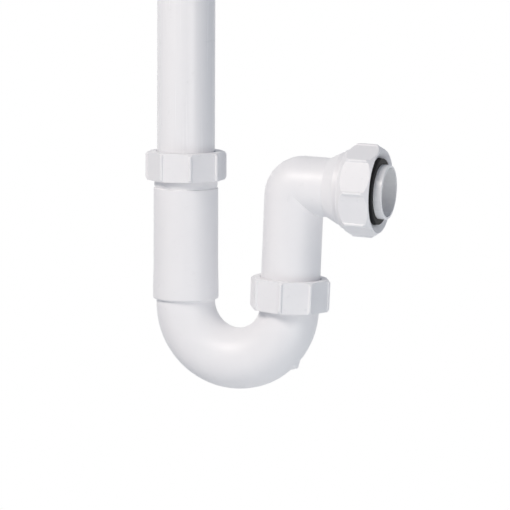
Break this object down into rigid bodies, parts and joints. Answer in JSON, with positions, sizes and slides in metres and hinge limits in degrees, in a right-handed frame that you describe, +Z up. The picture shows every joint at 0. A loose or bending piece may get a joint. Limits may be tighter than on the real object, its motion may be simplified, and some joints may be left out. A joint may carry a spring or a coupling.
{
  "type": "washing machine trap",
  "caption": "White plastic washing machine trap: a tall standpipe in a U-bend, with a swivelling elbow outlet, eight-sided compression nuts and black rubber seals.",
  "frame": {"origin": "on the standpipe's axis, about level with the outlet", "axes": "+X from the standpipe towards the outlet, +Z up along the standpipe, +Y towards the wall behind"},
  "size_m": [0.187, 0.0688, 0.6085],
  "materials": {
    "white_moulding": "moulded white polypropylene, soft gloss",
    "white_pipe": "extruded white pipe, soft gloss",
    "white_nut": "moulded white polypropylene, soft gloss",
    "slip_ring": "natural polyethylene, satin",
    "black_rubber": "moulded black rubber, matt"
  },
  "bodies": {
    "trap_body": {"u_bend": "white_moulding", "standpipe_seal": "black_rubber", "riser_seal": "black_rubber"},
    "standpipe": {"standpipe": "white_pipe"},
    "standpipe_ring": {"standpipe_slip_ring": "slip_ring"},
    "standpipe_nut": {"standpipe_nut": "white_nut"},
    "riser_ring": {"riser_slip_ring": "slip_ring"},
    "riser_nut": {"riser_nut": "white_nut"},
    "elbow": {"outlet_elbow": "white_moulding", "outlet_seal": "black_rubber"},
    "outlet_ring": {"outlet_slip_ring": "slip_ring"},
    "outlet_nut": {"outlet_nut": "white_nut"},
    "outlet_tail": {"outlet_tail": "white_pipe"}
  },
  "joints": [
    {"name": "standpipe_slide", "type": "slide", "parent": "trap_body", "child": "standpipe", "axis": [0, 0, 1], "range_m": [0, 0.06]},
    {"name": "standpipe_ring_rise", "type": "slide", "parent": "trap_body", "child": "standpipe_ring", "axis": [0, 0, 1], "range_m": [0, 0.01055]},
    {"name": "standpipe_nut_turn", "type": "hinge", "parent": "standpipe_ring", "child": "standpipe_nut", "pos_m": [0, 0, 0.013], "axis": [0, 0, 1], "range_deg": [0, 1260]},
    {"name": "riser_ring_rise", "type": "slide", "parent": "trap_body", "child": "riser_ring", "axis": [0.0384, 0, 0.9993], "range_m": [0, 0.01355]},
    {"name": "riser_nut_turn", "type": "hinge", "parent": "riser_ring", "child": "riser_nut", "pos_m": [0.08193, 0, -0.07877], "axis": [0.0384, 0, 0.9993], "range_deg": [0, 1620]},
    {"name": "elbow_swivel", "type": "hinge", "parent": "trap_body", "child": "elbow", "pos_m": [0.08193, 0, -0.07877], "axis": [0.0384, 0, 0.9993], "range_deg": [-120, 120]},
    {"name": "outlet_ring_rise", "type": "slide", "parent": "elbow", "child": "outlet_ring", "axis": [0.9993, 0, -0.0384], "range_m": [0, 0.01205]},
    {"name": "outlet_nut_turn", "type": "hinge", "parent": "outlet_ring", "child": "outlet_nut", "pos_m": [0.13776, 0, -0.00086], "axis": [0.9993, 0, -0.0384], "range_deg": [0, 1440]},
    {"name": "outlet_tail_slide", "type": "slide", "parent": "elbow", "child": "outlet_tail", "axis": [0.9993, 0, -0.0384], "range_m": [0, 0.02]}
  ],
  "couplings": [
    {"joint": "standpipe_ring_rise", "follows": "standpipe_nut_turn", "m_per_rad": 0.00047746},
    {"joint": "riser_ring_rise", "follows": "riser_nut_turn", "m_per_rad": 0.00047746},
    {"joint": "outlet_ring_rise", "follows": "outlet_nut_turn", "m_per_rad": 0.00047746}
  ]
}
